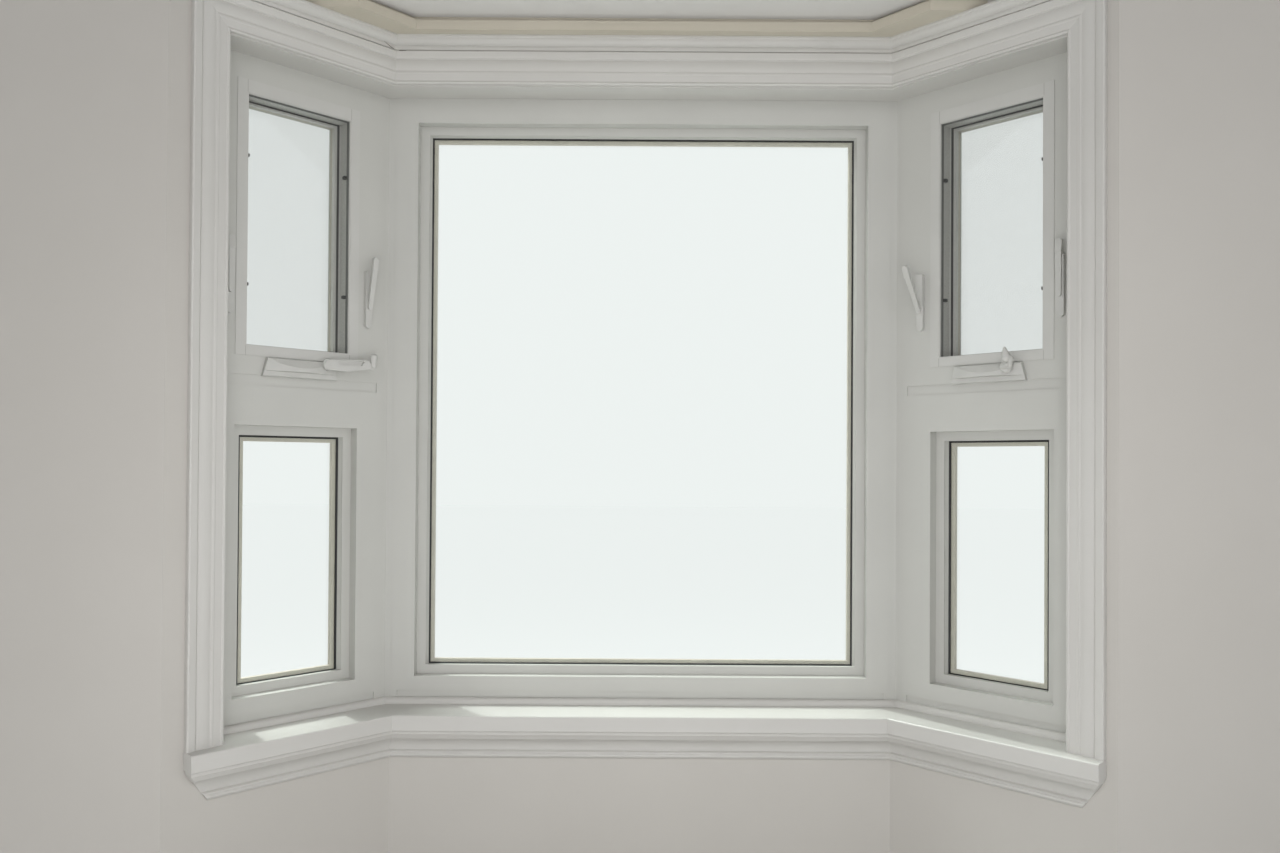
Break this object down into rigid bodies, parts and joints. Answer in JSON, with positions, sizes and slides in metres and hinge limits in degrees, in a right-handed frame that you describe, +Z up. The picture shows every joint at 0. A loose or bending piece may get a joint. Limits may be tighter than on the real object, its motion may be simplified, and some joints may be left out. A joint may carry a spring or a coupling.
{
  "type": "bay window",
  "caption": "White bay window seen from the room, with a wide fixed pane between slanting sides of awning vents over fixed lights, moulded casing, stool and apron.",
  "frame": {"origin": "on the ground, at the middle of the bay's base", "axes": "+X along the room wall, +Y out of the building, +Z up"},
  "size_m": [2.9, 0.6578, 2.9],
  "materials": {
    "wall": "smooth painted plaster",
    "trim": "painted wood, eggshell",
    "vinyl": "white vinyl, low gloss",
    "hardware": "white enamelled metal",
    "glass": "clear sealed unit",
    "roof": "plain flat roof deck",
    "sill": "painted outer sill"
  },
  "bodies": {
    "root": {"floor_deck": "wall", "knee_wall_left": "wall", "knee_wall_center": "wall", "knee_wall_right": "wall", "room_wall_left": "wall", "room_wall_right": "wall", "header_left": "wall", "header_center": "wall", "header_right": "wall", "opening_beam": "wall", "ceiling": "wall", "opening_lining": "trim", "stool_left": "trim", "stool_center": "trim", "stool_right": "trim", "apron_left": "trim", "apron_center": "trim", "apron_right": "trim", "side_casing_left": "trim", "side_casing_right": "trim", "head_casing_left": "trim", "head_casing_center": "trim", "head_casing_right": "trim", "ceiling_ledge": "trim", "corner_post_left": "vinyl", "corner_post_right": "vinyl", "picture_frame": "vinyl", "vent_frame_left": "vinyl", "vent_sash_left": "vinyl", "fixed_frame_left": "vinyl", "operator_left": "vinyl", "vent_frame_right": "vinyl", "vent_sash_right": "vinyl", "fixed_frame_right": "vinyl", "operator_right": "vinyl", "screen_frame_left": "hardware", "crank_left": "hardware", "cam_locks_left": "hardware", "screen_frame_right": "hardware", "crank_right": "hardware", "cam_locks_right": "hardware", "picture_glass": "glass", "vent_glass_left": "glass", "fixed_glass_left": "glass", "vent_glass_right": "glass", "fixed_glass_right": "glass", "roof": "roof", "outer_sill": "sill"}
  },
  "joints": []
}
